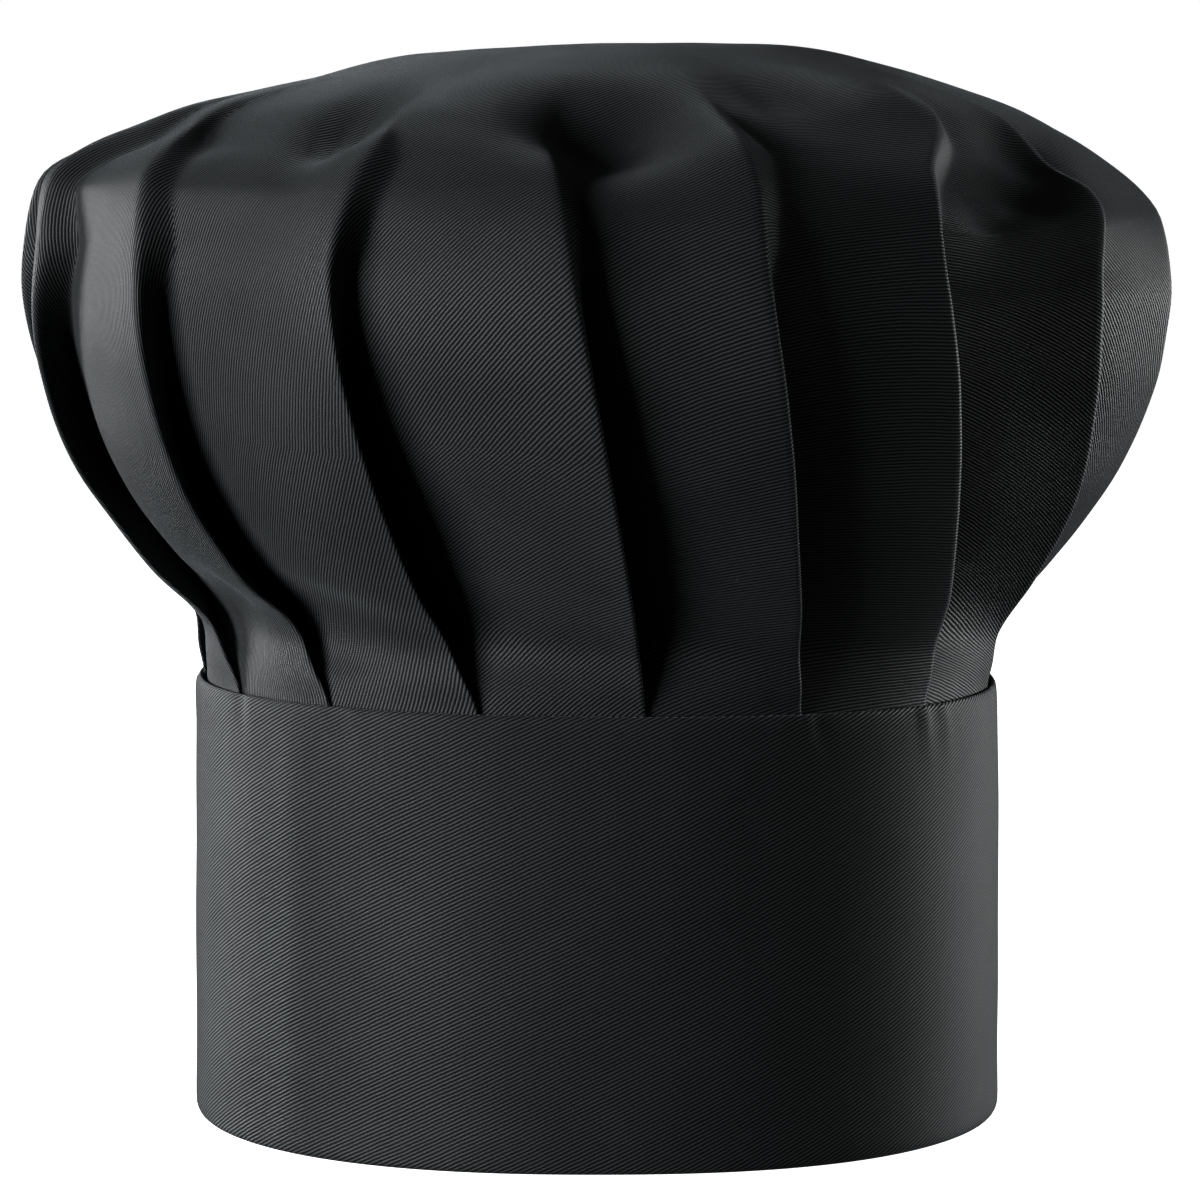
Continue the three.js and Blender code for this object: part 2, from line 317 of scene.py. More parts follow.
def foldedLine(cloth):
    # one ring: corners of the folded line as (distance round, distance in), and where the folds are
    radius = float(crownAt["reach"](cloth))
    spare = cloth * turn * crown["slack"] - radius * turn
    below = smoothStep(cloth, crown["bellyCloth"], crown["flareCloth"] + 15)
    # 1 where the pleats lie flat, above the seam
    pressed = smoothStep(cloth, crown["gatherCloth"] - 8, crown["seamCloth"] - 4)
    count = crown["pleats"]
    fullness = []
    for pleat in pleats:
        fade = float(smoothStep(cloth, pleat["end"], pleat["end"] + crown["fadeLength"]))
        full = pleat["fullness"] + (pleat["deep"] - pleat["fullness"]) * below
        fullness.append(max(full * fade * (1 - pressed) + pressed, 0.06))
    edge = [edgeAngle(k, cloth) * radius for k in range(-1, count + 1)]
    laps, depths = [], []
    for k in range(count):
        width, room = edge[k + 2] - edge[k + 1], edge[k + 1] - edge[k]
        depth = float(crownAt["depth"](cloth)) * fullness[k]
        length = width + spare * fullness[k] / sum(fullness)
        lap, depth = foldLap(width, room, depth, length, float(crownAt["open"](cloth)))
        laps.append(lap)
        depths.append(depth)
    corners, marks = [], []
    for k in range(count):
        here, width, room = edge[k + 1], edge[k + 2] - edge[k + 1], edge[k + 1] - edge[k]
        lap, depth = laps[k], depths[k]
        layer = min(crown["layer"], depth / 3)
        root = here - lap

        def above(places):
            # the panel that lies over this fold's hidden layers
            shown = np.clip(1 - (here - places) / room, 0, 1)
            return panelShape(pleats[k], cloth, depths[k - 1], shown)

        marks.append(len(corners))
        if lap > 0:
            bottom = max(depth, float(above(root)) + 2 * layer)
            places = np.linspace(here, root, 13)
            straight = np.linspace(layer, bottom - layer, 13)
            under = np.maximum(straight, above(places) + layer)
            corners += [(here, 0), *zip(places, under)]
            marks.append(len(corners))
            places = np.linspace(root, here, 13)[:-1]
            straight = np.linspace(bottom, depth, 13)[:-1]
            corners += list(zip(places, np.maximum(straight, above(places) + 2 * layer)))
            start = here
        else:
            corners += [(here, 0), (here, layer), (root, depth - layer)]
            marks.append(len(corners))
            start = root
        shown = np.linspace(0, 1, 33)[:-1]
        panel = panelShape(pleats[(k + 1) % count], cloth, depth, shown)
        corners += list(zip(start + (here + width - start) * shown, panel))
    return np.array(corners, float), marks, radius


foldPoints = (-2.2, -1, 0, 1, 2.2)


def between(first, final, count):
    return [first + (final - first) * i / (count + 1) for i in range(1, count + 1)]


def ringPoints(cloth):
    # the folded line rounded off, and sampled closely at the folds: round, in, nearness to a fold, and
    # the cloth used from the fold edge, as seen from the face on the left and on the right of each point
    corners, marks, radius = foldedLine(cloth)
    girth = radius * turn
    count = len(corners)
    around = np.vstack([corners - (girth, 0), corners, corners + (girth, 0), corners[:1] + (2 * girth, 0)])
    travel = np.concatenate([[0], np.cumsum(np.hypot(*np.diff(around, axis=0).T))])
    soft = float(crownAt["soft"](cloth))
    spacing = min(0.25, soft / 2)
    start, end = travel[count], travel[2 * count]
    margin = 4 * soft
    even = np.arange(start - margin - spacing, end + margin + spacing, spacing)
    reach = math.ceil(3 * soft / spacing)
    kernel = np.exp(-(np.arange(-reach, reach + 1) * spacing / soft) ** 2 / 2)
    kernel /= kernel.sum()
    rounded = [np.convolve(np.interp(even, travel, around[:, i]), kernel, mode="same") for i in (0, 1)]
    places, near, anchors, before, after = [], [], [], [], []
    for k in range(crown["pleats"]):
        edge = travel[count + marks[2 * k]]
        root = travel[count + marks[2 * k + 1]]
        last = 2 * k + 2 == len(marks)
        nextEdge = end if last else travel[count + marks[2 * k + 2]]
        gap = min(1.1 * soft + 0.25, (root - edge) / 5, (nextEdge - root) / 8)
        here = [edge + gap * f for f in foldPoints[2:]]
        here += between(here[-1], root + gap * foldPoints[0], crown["underPoints"])
        here += [root + gap * f for f in foldPoints]
        here += between(here[-1], nextEdge + gap * foldPoints[0], crown["panelPoints"])
        here += [nextEdge + gap * f for f in foldPoints[:2]]
        here = np.array(here)
        places.append(here)
        near.append(np.exp(-(np.minimum(here - edge, nextEdge - here) / 1.6) ** 2))
        anchors.append((edge - start) / (end - start) - k / crown["pleats"])
        before.append([(k, x - edge) if x <= root else (k + 1, x - nextEdge) for x in here])
        after.append([(k, x - edge) if x < root else (k + 1, x - nextEdge) for x in here])
    places = np.concatenate(places)
    return {
        "angle": np.interp(places, even, rounded[0]) / radius,
        "inward": np.interp(places, even, rounded[1]),
        "near": np.concatenate(near),
        "anchors": np.array(anchors) - np.mean(anchors),
        "before": np.concatenate(before),
        "after": np.concatenate(after),
    }


def clothAngles(rings, places):
    # the direction of every point in the flat disc of cloth. Each fold edge keeps its place in the
    # cloth below the belly, and the panels are measured from their edges.
    held = np.argmin(np.abs(places - crown["heldCloth"]))
    left, right = [], []
    for ring, cloth in zip(rings, places):
        anchors = ring["anchors"] if cloth < places[held] else rings[held]["anchors"]
        step = turn / crown["pleats"]
        start = math.radians(crown["firstEdge"])
        for side, made in (("before", left), ("after", right)):
            owner = ring[side][:, 0].astype(int)
            base = start + owner * step + anchors[owner % crown["pleats"]] * turn
            made.append(base + ring[side][:, 1] / cloth)
    return np.array(left), np.array(right)


def dentDepth(cloth, angle):
    depth = 0
    for dent in dents:
        across = apart(angle, math.radians(dent["angle"])) * crownAt["reach"](cloth)
        depth = depth + dent["depth"] * np.exp(-(across / dent["across"]) ** 2
                                               - ((cloth - dent["cloth"]) / dent["along"]) ** 2)
    return depth


def clothMap(cloth, alphaLeft, alphaRight):
    # the cloth lies flat in its map: a disc round the top, in metres. A face takes its left points'
    # direction as seen from their right, and its right points' as seen from their left.
    nextAlpha = np.roll(alphaLeft, -1, axis=1)
    nextAlpha[:, -1] += turn

    def disc(length, alpha):
        return np.stack([length * np.sin(alpha), -length * np.cos(alpha)], axis=-1) * mm

    corners = [disc(cloth[:-1], alphaRight[:-1]), disc(cloth[1:], alphaRight[1:]),
               disc(cloth[1:], nextAlpha[1:]), disc(cloth[:-1], nextAlpha[:-1])]
    quads = np.stack(corners, axis=-2).reshape(-1, 2)
    middle = np.zeros((cloth.shape[1], 2))
    fans = np.stack([middle, disc(cloth[0], alphaRight[0]), disc(cloth[0], nextAlpha[0])], axis=-2)
    return np.vstack([quads, fans.reshape(-1, 2)])


def makeCrown():
    tight = crown["seamCloth"] - 30
    bottom = crown["seamCloth"] + crown["skirtDepth"]
    places = np.concatenate([np.arange(4, tight, crown["rowStep"]),
                             np.arange(tight, bottom, crown["tightStep"]), [bottom]])
    rings = [ringPoints(cloth) for cloth in places]
    angle = np.array([ring["angle"] for ring in rings])
    inward = np.array([ring["inward"] for ring in rings])
    near = np.array([ring["near"] for ring in rings])
    rows, around = angle.shape
    cloth = np.repeat(places[:, None], around, axis=1)

    # hollows and soft lumps, which die out towards the seam
    smooth = crownPoints(cloth, angle, 0 * inward).reshape(-1, 3)
    lumps = softNoise(smooth, 42, 1) * crown["lumps"] + softNoise(smooth, 16, 2) * crown["ripples"]
    calm = 1 - smoothStep(cloth, crown["flareCloth"], crown["seamCloth"] - 6)
    inward = inward + dentDepth(cloth, angle) + lumps.reshape(cloth.shape) * calm

    points = crownPoints(cloth, angle, inward)
    pole = crownPoints(np.array([0.01]), np.array([0.0]), np.array([inward[0].mean()]))
    points = np.vstack([points.reshape(-1, 3), [[0, 0, pole[0, 2]]]])
    index = np.arange(rows * around).reshape(rows, around)
    right = np.roll(index, -1, axis=1)
    quads = np.stack([index[:-1], index[1:], right[1:], right[:-1]], axis=-1).reshape(-1, 4).tolist()
    fans = [(rows * around, int(a), int(b)) for a, b in zip(index[0], right[0])]
    # nearness to the fold edges above the belly, for the material, which paints these edges paler: partly
    # rubbed wear, partly a painted highlight
    crownEdgeWearAndHighlight = np.append(near.reshape(-1) * np.repeat(smoothStep(places, 100, 150), around), 0)
    thing = meshObject("crown_cloth", points, quads + fans, clothMap(cloth, *clothAngles(rings, places)),
                       {"edgeWearAndHighlight": crownEdgeWearAndHighlight})
    shell = thing.modifiers.new("thickness", "SOLIDIFY")
    shell.thickness = crown["cloth"] * mm
    shell.offset = 0  # the same on both faces, as every other layer is turned over
    shell.use_even_offset = False
    applyModifiers(thing)
    return thing


crownObject = makeCrown()
print("crown made, faces:", len(crownObject.data.polygons))


# Headband: one strip folded double along the rim, its upper edges turned in on both sides of the crown

headband = {
    "cloth": 0.4,  # thickness of the twill
    "around": 400,  # points round
    "step": 2.4,  # from row to row, in mm along the strip
    "waves": 0.35,  # how far the outer layer is out of true, and over what length
    "waveSize": 45,
    "creaseAngle": -42,  # a soft upright crease, and the flatter stretch beside it
    "creaseWidth": 6,
    "creaseHeight": 0.5,
    "flatAngle": -29,
    "flatWidth": 24,
    "flatDepth": 1,
    "backSeam": 0.45,  # how far the upright seam at the back is drawn in
}

# the section of the folded strip, as (inset from the rim's radius, height)
bandSection = [
    (2.4, 90.5), (2.4, 101), (2.2, 101.8), (1.75, 102), (1.3, 101.6), (1.05, 100.4), (0.8, 97),
    (0.35, 50), (0.05, 3), (0.1, 1), (0.5, 0.2), (1.4, 0), (2.3, 0.2), (2.75, 1), (2.8, 3), (3, 40),
    (3.2, 81), (5.6, 91), (5.65, 100.4), (5.4, 101.1), (5, 101.2), (4.7, 100.8), (4.6, 100), (4.6, 90.5),
]

# Small puckers under the seam. angle: at the seam. slant: how far it moves right on the way down,
# length and width in mm, height: how far it stands out, or in when it is below zero.
puckerColumns = ("angle", "slant", "length", "width", "height")
puckerRows = [
    (-55, 1, 7, 2.2, -0.7),
    (-36, 1.5, 9, 2.4, -0.6),
    (-33, 1.5, 12, 2, 0.35),
    (24, 0.6, 8, 1, 0.45),
    (28, 1.6, 9, 0.8, 0.9),
    (29.6, 1.8, 9, 1, -0.5),
    (47.5, 1.4, 10, 1.1, 0.7),
    (52, 1.4, 10, 1.2, 0.5),
    (74, -1, 8, 1.6, -0.5),
    (97, 0.8, 9, 1.4, 0.4),
    (121, 1, 7, 1.8, -0.6),
    (143, -0.8, 9, 1.2, 0.4),
    (166, 0.6, 8, 1.6, -0.5),
    (189, 1, 9, 1.3, 0.4),
    (212, 0.7, 7, 1.8, -0.6),
    (234, -1, 9, 1.2, 0.35),
    (257, 1, 8, 1.6, -0.5),
    (279, 0.9, 9, 1.3, 0.4),
]
puckers = [dict(zip(puckerColumns, row)) for row in puckerRows]


def sectionPath(corners, step, soft):
    # the section's polyline with its corners rounded a little, sampled evenly but closer at the turns
    corners = np.array(corners, float)
    travel = np.concatenate([[0], np.cumsum(np.hypot(*np.diff(corners, axis=0).T))])
    even = np.arange(0, travel[-1] + 0.05, 0.1)
    reach = math.ceil(3 * soft / 0.1)
    kernel = np.exp(-(np.arange(-reach, reach + 1) * 0.1 / soft) ** 2 / 2)
    kernel /= kernel.sum()
    smooth = []
    for i in (0, 1):
        line = np.interp(even, travel, corners[:, i])
        padded = np.pad(line, reach, mode="reflect", reflect_type="odd")
        smooth.append(np.convolve(padded, kernel, mode="valid"))
    smooth = np.array(smooth)
    slope = np.gradient(smooth, axis=1)
    bend = np.abs(np.gradient(np.unwrap(np.arctan2(slope[1], slope[0])))) / 0.1
    density = np.minimum(1 / step + bend / 0.35, 1 / 0.3)
    total = np.concatenate([[0], np.cumsum(density[1:] * 0.1)])
    wanted = np.linspace(0, total[-1], math.ceil(total[-1]) + 1)
    picked = np.interp(wanted, total, even)
    return picked, np.interp(picked, even, smooth[0]), np.interp(picked, even, smooth[1])


def bandSwell(angle, height):
    # how far the outer layer stands inward of its plain form
    middle = smoothStep(height, 0, 12) * (1 - smoothStep(height, 92, 101))
    lower = smoothStep(height, 0, 12) * (1 - smoothStep(height, 60, 88))
    radius = rim["radius"]
    across = apart(angle, math.radians(headband["creaseAngle"])) * radius
    swell = -headband["creaseHeight"] * np.exp(-(across / headband["creaseWidth"]) ** 2) * middle
    across = apart(angle, math.radians(headband["flatAngle"])) * radius
    swell = swell + headband["flatDepth"] * np.exp(-(across / headband["flatWidth"]) ** 2) * lower
    points = np.stack([radius * np.sin(angle), -radius * np.cos(angle), 1.6 * height], axis=-1)
    waves = softNoise(points.reshape(-1, 3), headband["waveSize"], 4).reshape(angle.shape)
    swell = swell + headband["waves"] * waves * middle
    back = apart(angle, math.pi) * radius
    swell = swell + headband["backSeam"] * np.exp(-(back / 0.7) ** 2)
    swell = swell - 0.5 * headband["backSeam"] * np.exp(-((back - 3) / 2.4) ** 2)
    for pucker in puckers:
        down = (rim["height"] - height) / pucker["length"]
        across = apart(angle, math.radians(pucker["angle"])) * radius - pucker["slant"] * down
        fade = np.exp(-np.maximum(down, 0) ** 2)
        swell = swell - pucker["height"] * np.exp(-(across / pucker["width"]) ** 2) * fade
    return swell


def makeBand():
    along, inset, height = sectionPath(bandSection, headband["step"], 0.3)
    count = headband["around"]
    # the points start at the back and crowd there a little, for the seam
    spread = np.arange(count) / count * turn
    angle = math.pi + spread - 0.25 * np.sin(spread)
    insets, angles = np.meshgrid(inset, angle, indexing="ij")
    heights = np.repeat(height[:, None], count, axis=1)
    outer = smoothStep(-insets, -2, -1.2) * (heights > 0.4)
    insets = insets + bandSwell(angles, heights) * outer
    radius = (rim["radius"] - insets) * planFactor(angles, rim["squareness"])
    points = np.stack([radius * np.sin(angles), -radius * np.cos(angles),
                       heights - rim["tilt"] * np.sin(angles) * heights / rim["height"]], axis=-1)
    rows = len(along)
    index = np.arange(rows * count).reshape(rows, count)
    right = np.roll(index, -1, axis=1)
    quads = np.stack([index[:-1], index[1:], right[1:], right[:-1]], axis=-1).reshape(-1, 4).tolist()
    plan = rim["radius"] * planFactor(angle, rim["squareness"])
    ring = np.stack([plan * np.sin(angle), -plan * np.cos(angle)], axis=-1)
    girth = np.concatenate([[0], np.cumsum(np.hypot(*(np.roll(ring, -1, axis=0) - ring).T))])
    # the cloth's own map, in metres: round the head, and up the outer layer
    u = np.broadcast_to(girth[None, :], (rows, count + 1))
    v = np.broadcast_to(-along[:, None], (rows, count + 1))
    flat = np.stack([u, v], axis=-1) * mm
    corners = [flat[:-1, :-1], flat[1:, :-1], flat[1:, 1:], flat[:-1, 1:]]
    uv = np.stack(corners, axis=-2).reshape(-1, 2)
    # a pale line along the band's top fold, for the material: partly wear, partly a painted highlight
    edge = 0.4 * np.exp(-((heights - 101.2) / 1.2) ** 2) * (insets < 2.2)
    thing = meshObject("band_cloth", points.reshape(-1, 3), quads, uv, {"edgeWearAndHighlight": edge.reshape(-1)})
    shell = thing.modifiers.new("thickness", "SOLIDIFY")
    shell.thickness = headband["cloth"] * mm
    shell.offset = -1
    shell.use_even_offset = False
    applyModifiers(thing)
    return thing, float(girth[-1]), float(along[-1])


bandObject, bandGirth, bandStrip = makeBand()
print("band made, faces:", len(bandObject.data.polygons), "strip:", round(bandGirth), "x", round(bandStrip))


# Stitches: one row of black thread inside, where the band's inner layer is closed over the crown's edge

stitches = {
    "height": 97.5,
    "inset": 5.75,  # from the rim's radius
    "length": 2.6,  # of one stitch
    "thickness": 0.45,
    "count": 170,
    "seed": 7,
}


def nodeGroup(name, sockets):
    group = bpy.data.node_groups.new(name, "GeometryNodeTree")
    for label, kind, default in sockets:
        item = group.interface.new_socket(label, in_out="INPUT", socket_type=kind)
        if default is not None:
            item.default_value = default
    group.interface.new_socket("Geometry", in_out="OUTPUT", socket_type="NodeSocketGeometry")
    return group


def makeStitchGroup():
    group = nodeGroup("stitch_row", [
        ("Geometry", "NodeSocketGeometry", None),
        ("Count", "NodeSocketInt", 100),
        ("Length", "NodeSocketFloat", 0.0026),
        ("Thickness", "NodeSocketFloat", 0.0005),
        ("Seed", "NodeSocketInt", 1),
        ("Thread", "NodeSocketMaterial", None),
    ])
    nodes, links = group.nodes, group.links
    given = nodes.new("NodeGroupInput")
    result = nodes.new("NodeGroupOutput")
    curve = nodes.new("GeometryNodeMeshToCurve")
    even = nodes.new("GeometryNodeResampleCurve")
    even.mode = "COUNT"
    bead = nodes.new("GeometryNodeMeshUVSphere")
    bead.inputs["Segments"].default_value = 8
    bead.inputs["Rings"].default_value = 6
    bead.inputs["Radius"].default_value = 0.5
    size = nodes.new("ShaderNodeCombineXYZ")
    shape = nodes.new("GeometryNodeTransform")
    tangent = nodes.new("GeometryNodeInputTangent")
    turned = nodes.new("FunctionNodeAlignRotationToVector")
    turned.axis = "X"
    jitter = nodes.new("FunctionNodeRandomValue")
    jitter.data_type = "FLOAT"
    jitter.inputs[2].default_value = 0.85
    jitter.inputs[3].default_value = 1.1
    place = nodes.new("GeometryNodeInstanceOnPoints")
    realize = nodes.new("GeometryNodeRealizeInstances")
    paint = nodes.new("GeometryNodeSetMaterial")
    links.new(given.outputs["Geometry"], curve.inputs["Mesh"])
    links.new(curve.outputs["Curve"], even.inputs["Curve"])
    links.new(given.outputs["Count"], even.inputs["Count"])
    links.new(given.outputs["Length"], size.inputs["X"])
    links.new(given.outputs["Thickness"], size.inputs["Y"])
    links.new(given.outputs["Thickness"], size.inputs["Z"])
    links.new(bead.outputs["Mesh"], shape.inputs["Geometry"])
    links.new(size.outputs["Vector"], shape.inputs["Scale"])
    links.new(tangent.outputs["Tangent"], turned.inputs["Vector"])
    links.new(given.outputs["Seed"], jitter.inputs["Seed"])
    links.new(even.outputs["Curve"], place.inputs["Points"])
    links.new(shape.outputs["Geometry"], place.inputs["Instance"])
    links.new(turned.outputs["Rotation"], place.inputs["Rotation"])
    links.new(jitter.outputs[1], place.inputs["Scale"])
    links.new(place.outputs["Instances"], realize.inputs["Geometry"])
    links.new(realize.outputs["Geometry"], paint.inputs["Geometry"])
    links.new(given.outputs["Thread"], paint.inputs["Material"])
    links.new(paint.outputs["Geometry"], result.inputs["Geometry"])
    return group


def makeStitches(material):
    angle = np.linspace(0, turn, 361)[:-1]
    height = stitches["height"]
    plan = (rim["radius"] - stitches["inset"]) * planFactor(angle, rim["squareness"])
    points = np.stack([plan * np.sin(angle), -plan * np.cos(angle),
                       height - rim["tilt"] * np.sin(angle) * height / rim["height"]], axis=-1)
    mesh = bpy.data.meshes.new("stitches")
    mesh.from_pydata((points * mm).tolist(), [(i, (i + 1) % 360) for i in range(360)], [])
    thing = bpy.data.objects.new("stitches", mesh)
    bpy.context.scene.collection.objects.link(thing)
    rowOf = thing.modifiers.new("row", "NODES")
    rowOf.node_group = makeStitchGroup()
    values = {
        "Count": stitches["count"],
        "Length": stitches["length"] * mm,
        "Thickness": stitches["thickness"] * mm,
        "Seed": stitches["seed"],
        "Thread": material,
    }
    for item in rowOf.node_group.interface.items_tree:
        if item.name in values:
            rowOf[item.identifier] = values[item.name]
    applyModifiers(thing)
    return thing


# Materials

twill = {
    # the colour between the ribs is darkened partly as painted shade in the grooves
    "colour": (0.0047, 0.0052, 0.0056),
    "lineColour": (0.0463, 0.0512, 0.0545),  # the raised diagonal ribs, paler partly as a painted highlight on them
    "pitch": 0.8,  # mm between ribs
    "crownSlant": 44,  # of the ribs, in degrees in each piece's own map
    "bandSlant": 26,
    "roughness": 0.62,
    "gleam": (0.0825, 0.55),  # between the ribs and on them
    "sheen": (0.045, 0.45),
    "relief": 0.85,
    "wearAndHighlight": 0.35,  # how much paler the fold edges are, partly rubbed wear and partly a painted highlight
    "lint": 1.0,
}


def addNode(nodes, kind, label, values=(), **settings):
    node = nodes.new(kind)
    node.label = label
    for key, value in settings.items():
        setattr(node, key, value)
    for key, value in dict(values).items():
        node.inputs[key].default_value = value
    return node


def makeTwill(name, slant):
    material = bpy.data.materials.new(name)
    material.use_nodes = True
    nodes, links = material.node_tree.nodes, material.node_tree.links
    nodes.clear()
    output = addNode(nodes, "ShaderNodeOutputMaterial", "output")
    shader = addNode(nodes, "ShaderNodeBsdfPrincipled", "cloth")
    cloth = addNode(nodes, "ShaderNodeUVMap", "cloth map", uv_map="cloth")
    across = (-math.sin(math.radians(slant)), math.cos(math.radians(slant)), 0)
    along = (math.cos(math.radians(slant)), math.sin(math.radians(slant)), 0)
    ribs = addNode(nodes, "ShaderNodeVectorMath", "across the ribs", {1: across}, operation="DOT_PRODUCT")
    yarn = addNode(nodes, "ShaderNodeVectorMath", "along the ribs", {1: along}, operation="DOT_PRODUCT")
    uneven = addNode(nodes, "ShaderNodeTexNoise", "uneven weave",
                     {"Scale": 260, "Detail": 2, "Roughness": 0.5})
    drape = addNode(nodes, "ShaderNodeTexNoise", "slow drift", {"Scale": 55, "Detail": 1, "Roughness": 0.5})
    drift = addNode(nodes, "ShaderNodeMath", "drift", {1: 0.00026}, operation="MULTIPLY_ADD")
    wander = addNode(nodes, "ShaderNodeMath", "wander", {1: 0.0004}, operation="MULTIPLY_ADD")
    pitch = twill["pitch"] * mm
    wave = addNode(nodes, "ShaderNodeMath", "rib phase", {1: turn / pitch}, operation="MULTIPLY")
    sine = addNode(nodes, "ShaderNodeMath", "ribs", operation="SINE")
    ribHeight = addNode(nodes, "ShaderNodeMapRange", "rib height",
                        {"From Min": -1, "From Max": 1, "To Min": 0, "To Max": 1})
    floats = addNode(nodes, "ShaderNodeMath", "yarn phase", {1: turn / (0.55 * pitch)},
                     operation="MULTIPLY_ADD")
    floatSine = addNode(nodes, "ShaderNodeMath", "yarns", operation="SINE")
    fuzz = addNode(nodes, "ShaderNodeTexNoise", "fuzz", {"Scale": 3400, "Detail": 3, "Roughness": 0.7})
    blotch = addNode(nodes, "ShaderNodeTexNoise", "tone", {"Scale": 42, "Detail": 4, "Roughness": 0.6})
    links.new(cloth.outputs["UV"], ribs.inputs[0])
    links.new(cloth.outputs["UV"], yarn.inputs[0])
    for noiseNode in (uneven, drape, fuzz, blotch):
        links.new(cloth.outputs["UV"], noiseNode.inputs["Vector"])
    links.new(uneven.outputs["Fac"], drift.inputs[0])
    links.new(ribs.outputs["Value"], wander.inputs[2])
    links.new(drape.outputs["Fac"], wander.inputs[0])
    links.new(wander.outputs[0], drift.inputs[2])
    links.new(drift.outputs[0], wave.inputs[0])
    links.new(wave.outputs[0], sine.inputs[0])
    links.new(sine.outputs[0], ribHeight.inputs["Value"])
    links.new(yarn.outputs["Value"], floats.inputs[0])
    links.new(wave.outputs[0], floats.inputs[2])
    links.new(floats.outputs[0], floatSine.inputs[0])

    # colour: dark between the ribs and paler on them, partly as painted shade in the grooves and a painted
    # highlight on the ribs, broken up by fuzz and by the single yarns
    grain = addNode(nodes, "ShaderNodeMapRange", "grain",
                    {"From Min": 0.3, "From Max": 0.72, "To Min": 0.35, "To Max": 1.35})
    yarnTone = addNode(nodes, "ShaderNodeMapRange", "yarn tone",
                       {"From Min": -1, "From Max": 1, "To Min": 0.72, "To Max": 1.1})
    speckle = addNode(nodes, "ShaderNodeMath", "speckle", operation="MULTIPLY")
    ribTone = addNode(nodes, "ShaderNodeMath", "rib tone", operation="MULTIPLY", use_clamp=True)
    colour = addNode(nodes, "ShaderNodeMix", "cloth colour", data_type="RGBA")
    colour.inputs["A"].default_value = (*twill["colour"], 1)
    colour.inputs["B"].default_value = (*twill["lineColour"], 1)
    links.new(fuzz.outputs["Fac"], grain.inputs["Value"])
    links.new(floatSine.outputs[0], yarnTone.inputs["Value"])
    links.new(grain.outputs["Result"], speckle.inputs[0])
    links.new(yarnTone.outputs["Result"], speckle.inputs[1])
    links.new(ribHeight.outputs["Result"], ribTone.inputs[0])
    links.new(speckle.outputs[0], ribTone.inputs[1])
    links.new(ribTone.outputs[0], colour.inputs["Factor"])

    # slow changes of tone, and fold edges made paler: partly rubbed wear, partly a painted highlight
    tone = addNode(nodes, "ShaderNodeMapRange", "slow tone",
                   {"From Min": 0.3, "From Max": 0.7, "To Min": 0.86, "To Max": 1.14})
    edge = addNode(nodes, "ShaderNodeAttribute", "fold edge", attribute_name="edgeWearAndHighlight")
    rubAndHighlight = addNode(nodes, "ShaderNodeMath", "rubAndHighlight", {1: twill["wearAndHighlight"], 2: 1}, operation="MULTIPLY_ADD")
    gain = addNode(nodes, "ShaderNodeMath", "tone and rub", operation="MULTIPLY")
    toned = addNode(nodes, "ShaderNodeVectorMath", "toned colour", operation="SCALE")
    links.new(blotch.outputs["Fac"], tone.inputs["Value"])
    links.new(edge.outputs["Fac"], rubAndHighlight.inputs[0])
    links.new(tone.outputs["Result"], gain.inputs[0])
    links.new(rubAndHighlight.outputs[0], gain.inputs[1])
    links.new(colour.outputs["Result"], toned.inputs[0])
    links.new(gain.outputs[0], toned.inputs["Scale"])

    # a few pale specks of lint
    cells = addNode(nodes, "ShaderNodeTexVoronoi", "lint", {"Scale": 95, "Randomness": 1})
    near = addNode(nodes, "ShaderNodeMath", "speck", {1: 0.018}, operation="LESS_THAN")
    chance = addNode(nodes, "ShaderNodeSeparateColor", "which cells")
    chosen = addNode(nodes, "ShaderNodeMath", "few of them", {1: 0.16}, operation="LESS_THAN")
    lint = addNode(nodes, "ShaderNodeMath", "lint amount", operation="MULTIPLY")
    strength = addNode(nodes, "ShaderNodeMath", "lint strength", {1: twill["lint"]}, operation="MULTIPLY")
    withLint = addNode(nodes, "ShaderNodeMix", "colour with lint", data_type="RGBA")
    withLint.inputs["B"].default_value = (0.16, 0.165, 0.17, 1)
    links.new(cloth.outputs["UV"], cells.inputs["Vector"])
    links.new(cells.outputs["Distance"], near.inputs[0])
    links.new(cells.outputs["Color"], chance.inputs[0])
    links.new(chance.outputs["Red"], chosen.inputs[0])
    links.new(near.outputs[0], lint.inputs[0])
    links.new(chosen.outputs[0], lint.inputs[1])
    links.new(lint.outputs[0], strength.inputs[0])
    links.new(strength.outputs[0], withLint.inputs["Factor"])
    links.new(toned.outputs["Vector"], withLint.inputs["A"])

    # relief of the weave
    relief = addNode(nodes, "ShaderNodeMath", "relief", {1: 0.35}, operation="MULTIPLY_ADD")
    bump = addNode(nodes, "ShaderNodeBump", "weave", {"Strength": twill["relief"], "Distance": 0.00012})
    links.new(fuzz.outputs["Fac"], relief.inputs[0])
    links.new(ribHeight.outputs["Result"], relief.inputs[2])
    links.new(relief.outputs[0], bump.inputs["Height"])

